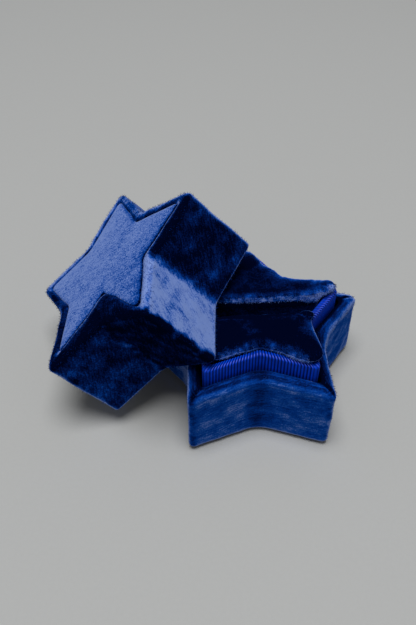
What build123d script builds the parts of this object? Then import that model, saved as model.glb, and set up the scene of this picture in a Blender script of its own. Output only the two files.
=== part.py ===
from build123d import *
from math import cos, hypot, radians, sin
import os

os.makedirs("parts", exist_ok=True)

# A five-pointed star ring box in velvet. The base stands on the floor, its lid is off and leans on it.
# Lengths are in millimetres and angles in degrees. The origin is the middle of the base's underside.

# Star outline, taken at the outer face of the base's velvet
star_points = 5
tip_radius = 34.0
notch_radius = 20.2
tip_round = 1.5
notch_round = 5.0
crease_round = 0.4

# Cloth, board and glue
velvet = 0.9
glue_gap = 0.1
wall_board = 1.6
floor_board = 1.8
bottom_cover = 0.8
cover_setback = 1.4

# Base wall
rim_height = 23.5
rim_round = 1.3
hem_round = 0.6
rim_turn_in = 9.0
hem_width = 6.0

# Lid
lid_height = 25.6
lid_setback = 0.5
lid_wall_board = 1.2
lid_top_board = 1.8
lid_lining = 0.6
lid_ceiling_card = 0.8
mouth_turn_in = 7.0
mouth_round = 0.6
lip_width = 2.6
lip_thickness = 1.5
lip_round = 1.1
lip_inner_round = 0.5
panel_gap = 0.3

# Ribbon-covered collar that the closed lid slips over
lid_fit = 0.4
collar_rise = 4.8
collar_board = 0.8
ribbon = 0.4
ribbon_round = 0.2
ribbon_turn_in = 4.0

# Ring cushion: two pads with the ring slot between them
insert_card = 1.2
insert_fit = 0.15
pad_fit = 0.3
pad_tip_round = 2.4
pad_edge_round = 1.8
pad_edge_rise = 1.3
pad_crown_rise = 0.6
slot_width = 4.6
slot_offset = 1.0

# Leaning lid: spin about its own axis, lean to the left, heading of the lean, and its place
lid_spin = -4.0
lid_lean = 42.0
lid_heading = -1.9
lid_back = 7.3
floor_gap = 0.2
lean_gap = 0.3

# Worked out from the sizes above
tip_step = 360 / star_points
half_step = tip_step / 2
notch_x = notch_radius * cos(radians(half_step))
notch_y = notch_radius * sin(radians(half_step))
edge_length = hypot(tip_radius - notch_x, notch_y)
tip_sine = notch_y / edge_length
edge_distance = tip_radius * tip_sine

wall_stack = 2 * velvet + wall_board + 2 * glue_gap
hem_bottom = bottom_cover + glue_gap
floor_bottom = hem_bottom + velvet + glue_gap
floor_top = floor_bottom + floor_board
wall_inset = velvet + glue_gap

lid_board_inset = lid_setback + velvet + glue_gap
lid_lining_inset = lid_board_inset + lid_wall_board + glue_gap
lid_wall_stack = lid_lining_inset + velvet
lid_board_bottom = velvet + glue_gap
lid_board_top = lid_height - lip_thickness - glue_gap
lid_board_under = lid_board_top - lid_top_board

collar_inset = lid_wall_stack + lid_fit
collar_top = rim_height + collar_rise
collar_board_inset = collar_inset + ribbon + glue_gap
collar_board_top = collar_top - ribbon - glue_gap
collar_inner = collar_board_inset + collar_board
ribbon_inner = collar_inner + glue_gap + ribbon

insert_bottom = floor_top + glue_gap
pad_bottom = insert_bottom + insert_card + glue_gap
pad_inset = ribbon_inner + pad_fit
crown_top = collar_top + pad_edge_rise + pad_crown_rise


def star_radii(inset):
    """Tip and notch radius of the star drawn in by inset, whose edges stay parallel to the outline."""
    left_share = 1 - inset / edge_distance
    return tip_radius * left_share, notch_radius * left_share


def tip_corner(inset):
    """Radius of a tip's corner, which gets smaller inwards down to a crease."""
    return max(tip_round - inset, crease_round)


def star(inset, corner=None):
    """Star face drawn in by inset, its tips and notches rounded about the same centres as the outline."""
    tip, notch = star_radii(inset)
    corner = corner or tip_corner(inset)
    places = []
    corners = []
    for point in range(star_points):
        angle = 90 + point * tip_step
        places.append((tip * cos(radians(angle)), tip * sin(radians(angle))))
        places.append((notch * cos(radians(angle + half_step)), notch * sin(radians(angle + half_step))))
        corners.extend([corner, notch_round + inset])
    return make_face(FilletPolyline(*places, radius=corners, close=True))


def plate(inset, bottom, top, corner=None):
    """Star plate between two heights."""
    return Pos(0, 0, bottom) * extrude(star(inset, corner), top - bottom)


def wall(outer, inner, bottom, top):
    """Star wall between two insets and two heights."""
    return Pos(0, 0, bottom) * extrude(star(outer) - star(inner), top - bottom)


def base_side_velvet():
    """Velvet strip round the base wall, folded over the rim and turned under the floor."""
    strip = wall(0, velvet, hem_bottom, rim_height)
    strip += wall(0, wall_stack, rim_height - velvet, rim_height)
    strip += wall(wall_stack - velvet, wall_stack, rim_height - rim_turn_in, rim_height)
    strip += wall(0, hem_width, hem_bottom, hem_bottom + velvet)
    strip = fillet(strip.faces().sort_by(Axis.Z)[-1].edges(), rim_round)
    return fillet(strip.faces().sort_by(Axis.Z)[0].outer_wire().edges(), hem_round)


def collar_ribbon():
    """Ribbon round the collar, folded over its top edge and turned in behind it."""
    band = wall(collar_inset, collar_inset + ribbon, floor_top + glue_gap, collar_top)
    band += wall(collar_inset, ribbon_inner, collar_top - ribbon, collar_top)
    band += wall(ribbon_inner - ribbon, ribbon_inner, collar_top - ribbon_turn_in, collar_top)
    return fillet(band.faces().sort_by(Axis.Z)[-1].edges(), ribbon_round)


def crowned_star(skin):
    """Star block of both pads under their shared crown, drawn in all round by skin."""
    outline_radius = star_radii(pad_inset)[0]
    crown_radius = (outline_radius**2 + pad_crown_rise**2) / (2 * pad_crown_rise)
    block = plate(pad_inset + skin, pad_bottom, crown_top, pad_tip_round - skin)
    return block & Pos(0, 0, crown_top - crown_radius) * Sphere(crown_radius - skin)


def slot_side(side, skin):
    """Room on one side of the ring slot, drawn in by skin, with its upper edge along the slot rounded."""
    slot_face = slot_offset + side * (slot_width / 2 + skin)
    room_top = crown_top + pad_crown_rise - skin
    room_height = room_top - pad_bottom
    middle = Pos(slot_face + side * tip_radius, room_top - room_height / 2)
    profile = Plane.YZ * middle * Rectangle(2 * tip_radius, room_height)
    upper_corners = profile.vertices().group_by(Axis.Z)[-1].sort_by(Axis.Y)
    slot_corner = upper_corners[0] if side > 0 else upper_corners[-1]
    return extrude(fillet(slot_corner, pad_edge_round - skin), tip_radius, both=True)


def pad_foam(side):
    """Foam block of one half of the ring cushion."""
    skin = velvet + glue_gap
    return crowned_star(skin) & slot_side(side, skin)


def pad_cover(side):
    """Velvet over one pad: its top, with soft edges, and all its sides."""
    crowned = crowned_star(0)
    crown = crowned.faces().filter_by(GeomType.SPHERE)[0]
    outside = fillet(crown.edges(), pad_edge_round) & slot_side(side, 0)
    return outside - (crowned_star(velvet) & slot_side(side, velvet))


def lid_side_velvet():
    """Velvet strip round the lid, hemmed into a lip at the top and turned in at the mouth."""
    strip = wall(lid_setback, lid_setback + velvet, 0, lid_height)
    strip += wall(lid_setback, lid_setback + lip_width, lid_height - lip_thickness, lid_height)
    strip += wall(lid_setback, lid_wall_stack, 0, velvet)
    strip += wall(lid_lining_inset, lid_wall_stack, 0, mouth_turn_in)
    top_face = strip.faces().sort_by(Axis.Z)[-1]
    strip = fillet(top_face.outer_wire().edges(), lip_round)
    top_face = strip.faces().sort_by(Axis.Z)[-1]
    strip = fillet(top_face.inner_wires()[0].edges(), lip_inner_round)
    return fillet(strip.faces().sort_by(Axis.Z)[0].edges(), mouth_round)


def lid_place():
    """Place of the leaning lid: its lowest tip on the floor and its mouth on the collar's front left tip."""
    lean_sine = sin(radians(lid_lean))
    lean_cosine = cos(radians(lid_lean))
    tip = star_radii(lid_setback)[0]
    corner = tip_corner(lid_setback)
    tip_centre = tip - corner / tip_sine
    lowest = min(cos(radians(90 + lid_spin + point * tip_step)) for point in range(star_points))
    edge_centre = tip_centre * lowest - corner + mouth_round
    height = floor_gap + mouth_round - edge_centre * lean_sine - mouth_round * lean_cosine
    axis = Vector(-lean_sine, 0, lean_cosine).rotate(Axis.Z, lid_heading)
    collar_tip = star_radii(collar_inset)[0] - tip_corner(collar_inset) * (1 / tip_sine - 1)
    tip_angle = radians(90 + 2 * tip_step)
    rest_point = Vector(collar_tip * cos(tip_angle), collar_tip * sin(tip_angle), collar_top)
    level = axis.dot(rest_point) + lean_gap
    across = (level - axis.Y * lid_back - axis.Z * height) / axis.X
    return Pos(across, lid_back, height) * Rot(0, 0, lid_heading) * Rot(0, -lid_lean, 0) * Rot(0, 0, lid_spin)


base_pieces = {
    "base_bottom_cover": plate(cover_setback, 0, bottom_cover),
    "base_side_velvet": base_side_velvet(),
    "base_wall_board": wall(wall_inset, wall_inset + wall_board, floor_bottom, rim_height - wall_inset),
    "base_floor_board": plate(wall_inset + wall_board + glue_gap, floor_bottom, floor_top),
    "collar_board": wall(collar_board_inset, collar_inner, floor_top + glue_gap, collar_board_top),
    "collar_ribbon": collar_ribbon(),
    "insert_card": plate(collar_inner + insert_fit, insert_bottom, insert_bottom + insert_card),
    "back_pad_foam": pad_foam(1),
    "back_pad_velvet": pad_cover(1),
    "front_pad_foam": pad_foam(-1),
    "front_pad_velvet": pad_cover(-1),
}

panel_inset = lid_setback + lip_width + panel_gap
panel_bottom = lid_board_top + glue_gap
lining_top = lid_board_under - glue_gap
ceiling_inset = lid_lining_inset + lid_lining + glue_gap
lid_pieces = {
    "lid_side_velvet": lid_side_velvet(),
    "lid_wall_board": wall(lid_board_inset, lid_board_inset + lid_wall_board, lid_board_bottom, lining_top),
    "lid_top_board": plate(lid_board_inset, lid_board_under, lid_board_top),
    "lid_top_velvet": plate(panel_inset, panel_bottom, panel_bottom + velvet),
    "lid_wall_lining": wall(lid_lining_inset, lid_lining_inset + lid_lining, mouth_turn_in + glue_gap, lining_top),
    "lid_ceiling_lining": plate(ceiling_inset, lining_top - lid_ceiling_card, lining_top),
}

for name, solid in base_pieces.items():
    export_step(solid, f"parts/{name}.step")
leaning = lid_place()
for name, solid in lid_pieces.items():
    export_step(leaning * solid, f"parts/{name}.step")
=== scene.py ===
"""Looks of the star ring box: velvet, ribbon, pads, boards and stage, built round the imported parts."""

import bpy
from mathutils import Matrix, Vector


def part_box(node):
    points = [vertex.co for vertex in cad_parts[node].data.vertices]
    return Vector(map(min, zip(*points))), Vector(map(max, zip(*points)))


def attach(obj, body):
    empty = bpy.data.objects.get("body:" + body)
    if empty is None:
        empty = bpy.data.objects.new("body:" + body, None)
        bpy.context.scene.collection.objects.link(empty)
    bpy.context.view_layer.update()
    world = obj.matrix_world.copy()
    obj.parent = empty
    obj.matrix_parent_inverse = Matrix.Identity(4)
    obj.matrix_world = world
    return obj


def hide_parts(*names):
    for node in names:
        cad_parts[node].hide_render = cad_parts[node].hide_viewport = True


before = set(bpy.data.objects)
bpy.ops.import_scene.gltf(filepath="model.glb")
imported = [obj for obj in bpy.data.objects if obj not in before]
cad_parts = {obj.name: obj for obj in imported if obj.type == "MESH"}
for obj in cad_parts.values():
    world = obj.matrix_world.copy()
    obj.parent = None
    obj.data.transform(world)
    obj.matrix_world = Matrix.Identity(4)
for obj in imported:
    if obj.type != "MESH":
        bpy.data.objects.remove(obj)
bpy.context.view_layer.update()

from math import atan2, ceil, cos, hypot, pi, radians, sin, tan, tau
from random import Random

import bmesh
import bpy
from bpy.props import FloatProperty, FloatVectorProperty, IntProperty, PointerProperty
from mathutils import Matrix, Vector, noise

bl_info = {
    "name": "Star velvet ring box",
    "version": (1, 0, 0),
    "blender": (4, 5, 0),
    "location": "View3D > Sidebar > Ring Box",
    "description": "Dresses the packed star ring box in velvet, ribbon and soft pads",
    "category": "Object",
}

MM = 0.001
STAR_POINTS = 5
WALLS = 2 * STAR_POINTS
CORNER_SEGMENTS = 7
FOLD_SEGMENTS = 6
MESH_LINES_PER_RIB = 7

# The pads swell as cloth at this many times their size, for this many frames
CLOTH_SCALE = 20
CLOTH_FRAMES = 20

# Loose pile is made in batches, because a small mesh grows faster than a large one
BLADES_AT_ONCE = 60
PILE_SEED = 11

# Panel from its edge to its middle: share of its size, rise over the lip's ledge in millimetres, and tone,
# darker at the edge as painted shade in the groove under the lip
PANEL_TONE = 0.44
PANEL_PROFILE = (
    (1.0, 0.8, 0.1), (0.99, 1.08, 0.2), (0.97, 1.2, 0.32), (0.94, 1.26, 0.39), (0.9, 1.3, 0.43),
    (0.82, 1.34, PANEL_TONE), (0.7, 1.38, PANEL_TONE), (0.56, 1.42, PANEL_TONE), (0.42, 1.45, PANEL_TONE),
    (0.28, 1.48, PANEL_TONE), (0.14, 1.5, PANEL_TONE), (0.04, 1.5, PANEL_TONE),
)


def length(name, description, millimetres):
    """A length property with its default in millimetres."""
    return FloatProperty(name=name, description=description, default=millimetres * MM, min=0, unit="LENGTH")


def share(name, description, default):
    """A share from nothing to all."""
    return FloatProperty(name=name, description=description, default=default, min=0, max=1, subtype="FACTOR")


def angle(name, description, degrees):
    """An angle property with its default in degrees."""
    return FloatProperty(name=name, description=description, default=radians(degrees), subtype="ANGLE")


def number_of(name, description, default):
    """A count of like things."""
    return IntProperty(name=name, description=description, default=default, min=1)


def colour(name, description, default):
    """A colour in linear light."""
    return FloatVectorProperty(
        name=name, description=description, default=default, size=3, min=0, max=1, subtype="COLOR",
    )


def point(name, description, default):
    """A place in metres."""
    return FloatVectorProperty(
        name=name, description=description, default=default, size=3, subtype="XYZ", unit="LENGTH",
    )


def per_wall(name, description, default, low, high):
    """A value for each wall, from the back tip round."""
    return FloatVectorProperty(
        name=name, description=description, default=default, size=WALLS, min=low, max=high,
    )


class StarOutline(bpy.types.PropertyGroup):
    """Star at the outer face of the base's velvet, and the mesh of the cloth that follows it."""

    tip_radius: length("Tip radius", "Middle of the star to a tip, before it is rounded", 34.0)
    notch_radius: length("Notch radius", "Middle of the star to a notch, before it is rounded", 20.2)
    tip_round: length("Tip round", "Radius of a tip's corner", 1.6)
    notch_round: length("Notch round", "Radius of a notch's corner", 5.0)
    spacing: length("Mesh spacing", "Distance between mesh lines along the star", 0.6)
    fine: length("Fine mesh", "Distance between mesh lines across velvet that shows", 0.7)
    coarse: length("Coarse mesh", "Distance between mesh lines across velvet that is hidden", 3.0)


class BaseVelvet(bpy.types.PropertyGroup):
    """Velvet strip round the base."""

    notch_round: length("Notch round", "Radius of the velvet in the notches", 11.0)
    hem_bottom: length("Hem height", "Underside of the hem", 0.9)
    hem_width: length("Hem width", "How far the hem is turned in under the floor", 6.0)
    hem_round: length("Hem round", "Radius of the lower edge", 1.4)
    rim_height: length("Rim height", "Top of the folded rim", 23.5)
    rim_width: length("Rim width", "Thickness of the covered wall with its pile", 3.8)
    rim_round: length("Rim round", "Radius of the rim's outer edge", 2.1)
    rim_zone: length("Rim zone", "Height of the finer mesh below the rim", 3.8)
    rim_padding: length("Rim padding", "How much thicker the cloth is on the rim", 0.2)
    fold_round: length("Fold round", "Radius of the rim's inner edge", 1.2)
    # Painted shade: the pile is darkened this far down inside the rim.
    fold_depth: length("Fold depth", "How far down inside the rim the pile is dark", 3.0)
    rim_turn_in: length("Rim turn-in", "How far the velvet goes down inside the rim", 9.0)
    cloth: length("Cloth thickness", "Thickness of the velvet", 0.9)
    softness: length("Softness", "Height of the soft waves in the cloth", 0.26)
    wave: length("Wave", "Length of the soft waves in the cloth", 9.0)
    tip_gap: length("Tip gap", "How far the rim's inner fold draws back into each tip", 1.1)
    mitre: length("Mitre", "Depth of the slit where the rim is mitred at each tip", 0.4)
    # Partly real nap and partly painted light and shade: each wall is set lighter or darker to match how it is
    # lit.
    nap: per_wall(
        "Nap of the walls", "How light the pile is brushed on each wall",
        (0.3, 0.5, 0.3, 0.24, 0.44, 0.49, 0.21, 0.15, 0.5, 0.4), -1, 1,
    )
    # Partly real nap and partly painted highlight: the rim is lightened most along the front walls.
    crest_nap_and_highlight: per_wall(
        "Nap of the rim", "How light the pile is brushed on the rim over each wall",
        (0.5, 0.5, 0.5, 0.8, 0.86, 0.86, 0.6, 0.92, 0.72, 0.5), 0, 2,
    )
    # Painted shade: darkens the pile down inside the rim, where it turns in beside the collar.
    inner_edge_shading: per_wall(
        "Nap of the inner fold", "How much lighter the pile is brushed inside the rim along each wall",
        (-1.2,) * WALLS, -2, 2,
    )


class LidVelvet(bpy.types.PropertyGroup):
    """Velvet strip round the lid, with its lip and its mouth, and the panel in the lip."""

    setback: length("Setback", "How far the lid stands in from the base's outline", 0.5)
    height: length("Height", "Mouth to the top of the lip", 25.6)
    wall: length("Wall inset", "Inner face of the mouth's turn-in", 3.7)
    mouth_round: length("Mouth round", "Radius of the mouth's edges", 0.8)
    mouth_zone: length("Mouth zone", "Height over the mouth in which the cloth comes to its full softness", 1.6)
    mouth_padding: length("Mouth padding", "How much thicker the cloth is on the mouth", 0.05)
    mouth_turn_in: length("Mouth turn-in", "How far the velvet goes up inside the mouth", 7.0)
    lip_width: length("Lip width", "Width of the raised lip round the panel", 2.9)
    lip_depth: length("Lip depth", "Height of the lip over the panel's board", 1.5)
    lip_round: length("Lip round", "Radius of the lip's edges", 1.35)
    lip_zone: length("Lip zone", "Height of the finer mesh below the lip", 2.6)
    gather_from: length("Gather start", "Place along the fold where the lip starts to bunch", 34.6)
    lip_reach: FloatVectorProperty(
        name="Lip reach",
        description="Extra reach of the lip at each tip, half wall and notch, from the back tip round",
        size=2 * WALLS, unit="LENGTH", default=(
            -0.0006, -0.0008, -0.0009, -0.0007, -0.0004, 0, 0.0006, 0.0009, 0.0014, 0.0048,
            0.0082, 0.0074, 0.0008, 0.0008, 0.0012, 0.0005, -0.0002, 0.0003, 0.0008, 0.0001,
        ),
    )
    cloth: length("Cloth thickness", "Thickness of the velvet", 0.9)
    softness: length("Softness", "Height of the soft waves in the cloth", 0.26)
    wave: length("Wave", "Length of the soft waves in the cloth", 9.0)
    panel_inset: length("Panel inset", "Inset of the panel's edge", 3.2)
    # Painted shade in the groove where the panel meets the lip, darkest on the walls where it is set to one.
    panel_edge_shade: per_wall(
        "Groove", "How dark the panel's edge is along each wall",
        (0.15, 0.15, 0.6, 1, 1, 1, 0.5, 1, 1, 0.8), 0, 1,
    )
    # Partly real nap and partly painted light and shade: each wall is set lighter or darker to match how it is
    # lit, darkest on the walls that face down into shadow.
    nap: per_wall(
        "Nap of the walls", "How light the pile is brushed on each wall",
        (0.78, 0.78, 0.1, 0.4, 0.47, -0.06, 0.63, 0.47, 0.4, 0.0), -1, 1,
    )
    # Partly nap and partly painted light and shade on the lip: a painted highlight where its edge catches the
    # light, and dark where it faces down into shadow.
    crest_nap_and_highlight: per_wall(
        "Nap of the lip", "How light the pile is brushed on the lip over each wall",
        (0.62, 0.62, 0.05, 0.04, 0.12, 0.12, 0.85, 0.2, 0.36, 0.34), 0, 1,
    )
    # Painted shade in the crease at the lip's inner edge, with a little painted light on the walls where the
    # value is positive.
    inner_edge_shading: per_wall(
        "Nap of the inner edge", "How much lighter the pile is at the lip's inner edge along each wall",
        (0.1, 0.1, -0.2, -0.3, -0.3, -0.3, 0.1, -0.3, -0.2, -0.2), -2, 2,
    )


class CollarRibbon(bpy.types.PropertyGroup):
    """Ribbed ribbon round the collar."""

    inset: length("Inset", "Outer face of the ribbon", 4.05)
    notch_round: length("Notch round", "Radius of the ribbon's notches before it is drawn in", 2.4)
    inner_inset: length("Inner inset", "Inner face of the turned-in ribbon", 5.9)
    bottom: length("Bottom", "Lower edge of the ribbon", 3.8)
    top: length("Top", "Folded top edge", 28.3)
    top_zone: length("Top zone", "Height of the finer mesh below the top edge", 0.9)
    outer_round: length("Outer round", "Radius of the top's outer edge", 0.5)
    inner_round: length("Inner round", "Radius of the top's inner edge", 0.45)
    turn_in: length("Turn-in", "How far the ribbon goes down behind the collar", 4.0)
    cloth: length("Cloth thickness", "Thickness of the ribbon between ribs", 0.4)
    rib_height: length("Rib height", "How far a rib stands up", 0.22)
    fine: length("Fine mesh", "Distance between mesh lines across ribbon that shows", 1.2)
    coarse: length("Coarse mesh", "Distance between mesh lines across ribbon that is plain or hidden", 4.0)
    ribs: number_of("Ribs", "Ribs along one edge of the star", 18)


class RingPads(bpy.types.PropertyGroup):
    """Two soft pads with the ring slot between them."""

    inset: length("Inset", "Outer face of the pads", 6.2)
    tip_round: length("Tip round", "Radius of a pad's tips", 1.0)
    bottom: length("Bottom", "Underside of the pads", 5.1)
    shoulder: length("Shoulder", "Height of a pad's edge before it swells", 29.5)
    crown: length("Crown", "Highest point of the pads", 30.2)
    crown_reach: length("Crown reach", "Middle of the box to where the crown has run out", 23.0)
    crown_depth: length("Crown depth", "Height below the shoulder in which the crown comes up", 3.0)
    sill: length("Sill", "Height of the ribbon's top, over which the pads bulge", 28.5)
    row: length("Row", "Distance between the mesh lines laid over the sill", 0.4)
    held: length("Held", "Height over the sill up to which the last smoothing leaves a pad alone", 0.05)
    bulge: length("Bulge", "How far the pads bulge over the ribbon", 2.3)
    bulge_depth: length("Bulge depth", "Height over the sill in which the bulge comes up", 1.3)
    edge_zone: length("Edge zone", "Width of the edge that lifts and fills its tips", 7.0)
    lid_line: length("Lid line", "How far left of the middle the leaning lid covers the pads", 8.0)
    lift_blend: length("Lift blend", "Width in which the lift comes up beside the lid", 6.0)
    side_blend: length("Side blend", "Width in which the bulge and the tips come up", 4.0)
    tip_push: length("Tip push", "How much further the pads bulge at their tips", 3.6)
    tips_from: length("Tips from", "How far right of the middle the tips start to bulge further", 5.0)
    flank_fill: length("Flank fill", "How much further the back pad bulges on the right of its back tip", 2.4)
    flank_turn: angle("Flank turn", "Turn from the back tip to the middle of that flank", 18.9076)
    back_lean: length("Back lean", "How far the back tip of the back pad leans to the left", 1.7)
    lean_from: length("Lean from", "How far behind the middle the back tip starts to lean", 10.0)
    lift: length("Edge lift", "How far the pads' edges stand up to the right of the lid", 1.4)
    fuzz: length("Fuzz", "Width of the light band of pile along a pad's edge", 3.2)
    fuzz_rise: length("Fuzz rise", "Height over the sill in which the light band comes up", 0.6)
    slot_rise: length("Slot rise", "Height below the sill in which the light along the slot dies away", 0.8)
    slot_width: length("Slot width", "Gap that holds the ring", 4.6)
    slot_offset: length("Slot offset", "Middle of the slot behind the middle of the box", 1.0)
    start_inset: length("Start inset", "How much smaller a pad is before it swells", 0.25)
    voxel: length("Voxel", "Size of the remeshed faces", 0.6)
    ease: length("Ease", "How far the pile presses out past the packed pad", 0.2)
    cap: length("Swell", "Most that a point may move as the pad swells", 1.3)
    pressure: FloatProperty(
        name="Pressure", description="Pressure inside the pad as it swells", default=4.0, min=0,
    )
    fill: share("Fill", "How tightly the pads are stuffed", 0.8)


class PileFringe(bpy.types.PropertyGroup):
    """Loose pile that stands along the soft edges."""

    tall: length("Tall", "Length of the longest blades", 0.85)
    thick: length("Thick", "Radius of a blade at its foot", 0.055)
    lean: share("Lean", "How far the blades lean any way", 0.8)
    mouth_at: length("Mouth edge", "Place along the lid's fold of its mouth edge", 9.8)
    mouth_band: length("Mouth band", "Width of the pile on each side of the mouth edge", 1.2)
    rim: number_of("Rim", "Blades on the base's rim and tips", 2600)
    lip: number_of("Lip", "Blades on the lid's lip, mouth and tips", 3600)
    pad: number_of("Pad", "Blades on each pad", 2600)


class BoxColours(bpy.types.PropertyGroup):
    """Colours of the velvet, the ribbon and the boards."""

    deep: colour("Deep pile", "Velvet looked straight into", (0.0003, 0.0016, 0.013))
    shade: colour("Pile in shade", "Velvet a little aslant", (0.0012, 0.011, 0.085))
    body: colour("Pile", "Velvet at a middling slant", (0.0015, 0.048, 0.31))
    bright: colour("Bright pile", "Velvet well aslant", (0.012, 0.088, 0.4))
    bloom: colour("Bloom", "Velvet brushed to the light", (0.095, 0.18, 0.54))
    pale: colour("Pale bloom", "Velvet seen along the pile", (0.2, 0.3, 0.66))
    ribbon: colour("Ribbon", "Ribbon's ribs", (0.0006, 0.068, 0.82))
    # Painted shade: the dark between the ribs.
    ribbon_groove_shade: colour("Ribbon grooves", "Ribbon between the ribs", (0.0002, 0.002, 0.035))
    # Painted highlight: pale glints on the ribs where they fold over the collar's top.
    fold_highlight: colour("Worn ribs", "Ribs where they fold over the collar's top", (0.3, 0.32, 0.7))
    board: colour("Board", "Grey board", (0.32, 0.29, 0.25))
    lining: colour("Lining", "Cloth inside the lid", (0.002, 0.014, 0.09))
    floor: colour("Floor", "Pale studio floor", (0.47, 0.475, 0.47))
    sky: colour("Sky", "Colour of the light from all round", (0.97, 0.99, 1.0))


class StageView(bpy.types.PropertyGroup):
    """Floor, light and camera."""

    floor_reach: length("Floor reach", "Middle of the floor to its edge", 3000.0)
    sky: FloatProperty(name="Sky", description="Light from all round", default=0.17, min=0)
    key: FloatProperty(name="Key", description="Share of light from the large lamp above", default=0.8, min=0)
    lamp_place: point("Lamp place", "Middle of the large lamp", (-0.05, -0.12, 1.1))
    lamp_size: length("Lamp size", "Width of the large lamp", 600.0)
    aim: point("Aim", "Point on the floor at the middle of the picture", (-0.01215, 0.02685, 0.0))
    azimuth: angle("Azimuth", "Turn of the camera round the object", -2.475)
    elevation: angle("Elevation", "Height of the camera over the floor", 46.768)
    distance: length("Distance", "Camera to the aim", 249.9)
    lens: FloatProperty(name="Lens", description="Focal length of the camera", default=42.95, unit="CAMERA")
    sensor: FloatProperty(name="Sensor", description="Width of the sensor", default=36.0, unit="CAMERA")
    near: length("Near", "Nearest that the camera sees", 10.0)
    far: length("Far", "Furthest that the camera sees", 10000.0)


class RingBox(bpy.types.PropertyGroup):
    """All the settings of the ring box."""

    outline: PointerProperty(type=StarOutline)
    base: PointerProperty(type=BaseVelvet)
    lid: PointerProperty(type=LidVelvet)
    ribbon: PointerProperty(type=CollarRibbon)
    pads: PointerProperty(type=RingPads)
    fringe: PointerProperty(type=PileFringe)
    colours: PointerProperty(type=BoxColours)
    stage: PointerProperty(type=StageView)


# Star geometry


def clamped(value):
    """A value kept between nothing and one."""
    return max(0.0, min(1.0, value))


def tip_half_angle(outline):
    """Half the corner at a tip."""
    across = outline.notch_radius * sin(pi / STAR_POINTS)
    along = outline.tip_radius - outline.notch_radius * cos(pi / STAR_POINTS)
    return atan2(across, along)


def edge_distance(outline):
    """Distance from the middle of the star to the line of an edge."""
    return outline.tip_radius * sin(tip_half_angle(outline))


def drawn_in(outline, inset):
    """Scale that draws the star in by an inset, its edges staying parallel."""
    return 1 - inset / edge_distance(outline)


def turn_of(place):
    """Angle from the first tip, counter-clockwise seen from above."""
    return atan2(-place.x, place.y) % tau


def off_tip(place):
    """Turn from a place to the nearest tip."""
    step = tau / STAR_POINTS
    return abs((turn_of(place) + step / 2) % step - step / 2)


def walls_off_tip(walls):
    """Walls from a place along the star to the nearest tip."""
    return abs((walls + 1) % 2 - 1)


def star_depth(outline, place):
    """How deep a place lies inside the star's nearest edge, and the turn that this edge faces."""
    step = tau / STAR_POINTS
    turn = turn_of(place)
    tip = round(turn / step) * step
    lean = pi / 2 - tip_half_angle(outline)
    out = tip + (lean if turn > tip else -lean)
    return edge_distance(outline) - place.xy.length * cos(turn - out), out


def star_disc(bm, outline, tip_round, notch_round):
    """Star face with rounded tips and notches, and its first tip towards the back."""
    circle = bmesh.ops.create_circle(bm, cap_ends=True, segments=WALLS, radius=outline.tip_radius)
    tips = circle["verts"][0::2]
    notches = circle["verts"][1::2]
    inwards = outline.notch_radius / outline.tip_radius
    bmesh.ops.scale(bm, vec=Vector((inwards, inwards, 1)), verts=notches)
    half = tip_half_angle(outline)
    tip_cut = tip_round / tan(half)
    notch_cut = notch_round / tan(half + pi / STAR_POINTS)
    for places, cut in ((tips, tip_cut), (notches, notch_cut)):
        bmesh.ops.bevel(
            bm, geom=places, offset=cut, offset_type="OFFSET", affect="VERTICES",
            segments=CORNER_SEGMENTS, profile=0.5, material=-1, clamp_overlap=True,
        )


def star_ring(bm, outline, per_edge=0, notch_round=None):
    """Closed ring of edges along the star, each vertex with its place in walls from the first tip."""
    spacing = outline.spacing
    star_disc(bm, outline, outline.tip_round, notch_round or outline.notch_round)
    bmesh.ops.delete(bm, geom=bm.faces[:], context="FACES_ONLY")
    runs = [edge for edge in bm.edges if edge.calc_length() > 2 * spacing]
    bmesh.ops.subdivide_edges(bm, edges=runs, cuts=per_edge or ceil(runs[0].calc_length() / spacing))
    walls = bm.verts.layers.float.new("walls")
    ordered = sorted(bm.verts, key=lambda vert: turn_of(vert.co))
    along = 0.0
    for vert, following in zip(ordered, ordered[1:] + ordered[:1]):
        vert[walls] = along
        along += (following.co - vert.co).length
    for vert in ordered:
        vert[walls] *= WALLS / along
    return bm.edges[:], along


def scale_and_raise(bm, verts, scale, rise):
    """Scales vertices about the star's axis and raises them."""
    bmesh.ops.scale(bm, vec=Vector((scale, scale, 1)), verts=verts)
    bmesh.ops.translate(bm, vec=Vector((0, 0, rise)), verts=verts)


def draw_on(bm, ring, scale, rise):
    """Extrudes a ring of edges, scaled and raised, into its next vertices and edges."""
    made = bmesh.ops.extrude_edge_only(bm, edges=ring)["geom"]
    verts = [item for item in made if isinstance(item, bmesh.types.BMVert)]
    fresh = set(verts)
    edges = [item for item in made if isinstance(item, bmesh.types.BMEdge) and fresh.issuperset(item.verts)]
    scale_and_raise(bm, verts, scale, rise)
    return verts, edges


def fold_line(corners):
    """Rounds a closed fold into stations of inset, height, crest and give.

    A corner is inset, height, round, step, crest before it, crest after it and give.
    """
    stations = []
    count = len(corners)
    for index, (inset, height, radius, step, crest, crest_after, give) in enumerate(corners):
        here = Vector((inset, height))
        back = (Vector(corners[index - 1][:2]) - here).normalized()
        after = corners[(index + 1) % count]
        following = Vector(after[:2])
        ahead = (following - here).normalized()
        half = back.angle(ahead) / 2
        centre = here + (back + ahead).normalized() * (radius / sin(half))
        start = here + back * (radius / tan(half))
        end = here + ahead * (radius / tan(half))
        turns = FOLD_SEGMENTS if radius else 0
        for turn in range(turns):
            spoke = (start.lerp(end, turn / turns) - centre).normalized()
            stations.append((*(centre + spoke * radius), crest + (crest_after - crest) * turn / turns, give))
        beyond = Vector(corners[(index + 2) % count][:2]) - following
        next_half = (here - following).angle(beyond) / 2
        run_end = following - ahead * (after[2] / tan(next_half))
        strides = max(1, round((run_end - end).length / step))
        for stride in range(strides):
            part = stride / strides
            blend = (crest_after + (after[4] - crest_after) * part, give + (after[6] - give) * part)
            stations.append((*end.lerp(run_end, part), *blend))
    return stations


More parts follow.
